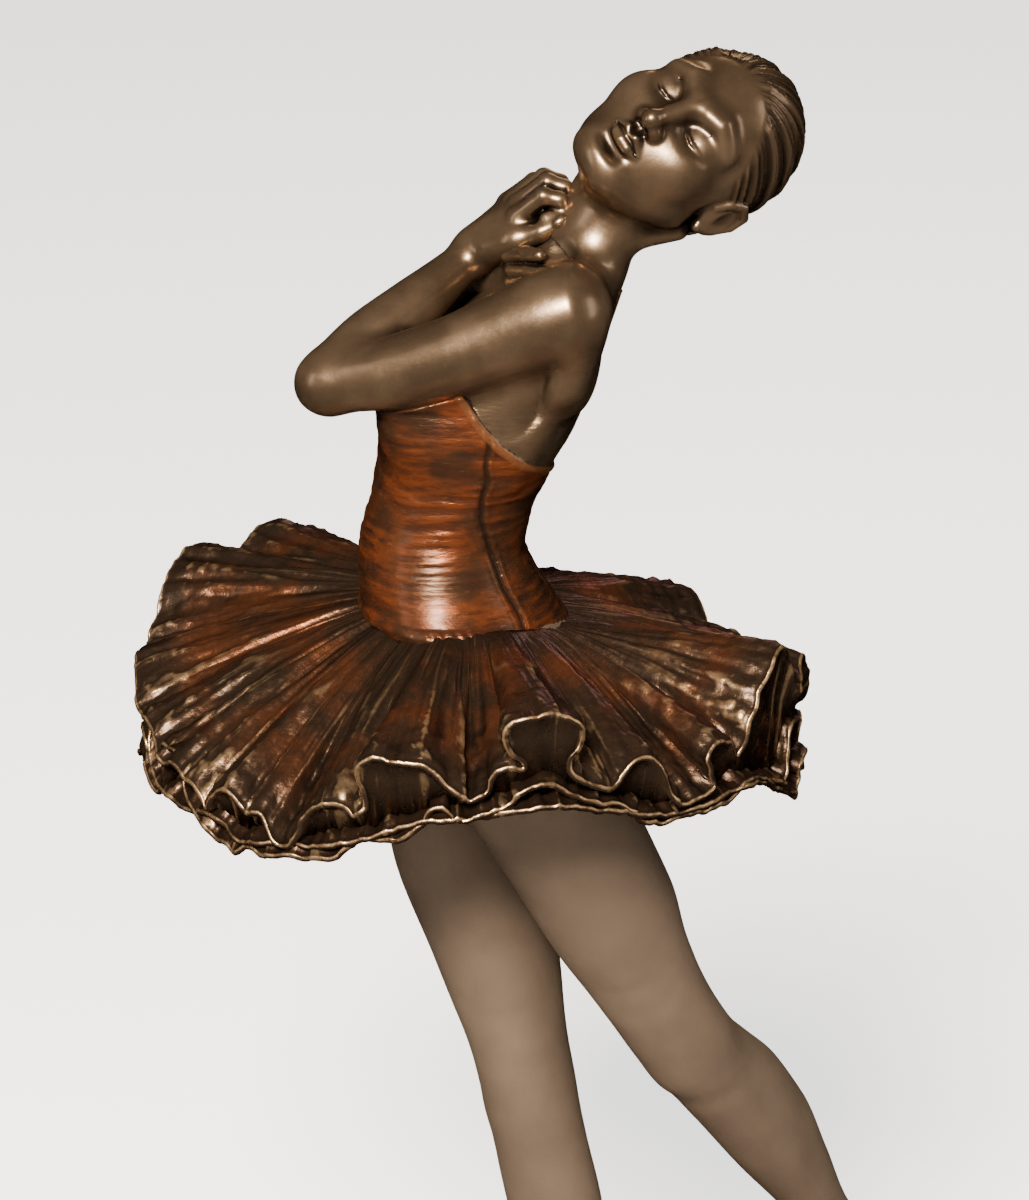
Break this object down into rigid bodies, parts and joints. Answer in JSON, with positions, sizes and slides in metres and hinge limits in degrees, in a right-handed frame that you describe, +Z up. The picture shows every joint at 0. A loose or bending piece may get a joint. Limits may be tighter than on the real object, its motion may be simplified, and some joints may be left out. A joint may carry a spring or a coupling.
{
  "type": "bronze ballerina statuette",
  "caption": "Ballerina in a fluted tutu, head thrown back and arms folded at the throat, the left leg trailing on its toe, cast in bronze pieces pinned together on a round plinth.",
  "frame": {"origin": "centre of the plinth's felt underside, on the surface the statuette stands on", "axes": "+Z up; the dancer's chest faces -X and her left side faces -Y, the side the statuette is shown from"},
  "size_m": [0.143, 0.1238, 0.2773],
  "materials": {
    "plinth": "dark brown bronze patina, satin lacquer",
    "felt": "short-pile adhesive felt",
    "zinc_steel": "zinc plated",
    "brass_insert": "turned",
    "armature_steel": "drawn wire",
    "leg_bronze": "matt taupe bronze patina",
    "hip_bronze": "russet patina",
    "skirt_patina": "russet patina, rims rubbed through to gold",
    "skirt_patina_deep": "darker russet patina, rims rubbed through to gold",
    "bodice_patina": "varnished rust-red patina; back and shoulders in dark bronze",
    "skin_bronze": "dark warm bronze with a golden satin sheen",
    "hair_bronze": "dark brown bronze"
  },
  "bodies": {
    "root": {"base_plinth": "plinth", "base_felt": "felt", "base_screw": "zinc_steel", "base_washer": "zinc_steel", "foot_insert": "brass_insert", "toe_pin": "armature_steel", "standing_leg": "leg_bronze", "trailing_leg": "leg_bronze", "standing_leg_rod": "armature_steel", "trailing_leg_rod": "armature_steel", "hips": "hip_bronze", "tutu_top": "skirt_patina", "tutu_middle": "skirt_patina_deep", "tutu_under": "skirt_patina_deep", "bodice_torso": "bodice_patina", "spine_rod": "armature_steel", "left_arm": "skin_bronze", "right_arm": "skin_bronze", "left_shoulder_pin": "armature_steel", "right_shoulder_pin": "armature_steel", "head": "skin_bronze", "neck_pin": "armature_steel", "hair_bun": "hair_bronze", "bun_pin": "armature_steel"}
  },
  "joints": []
}
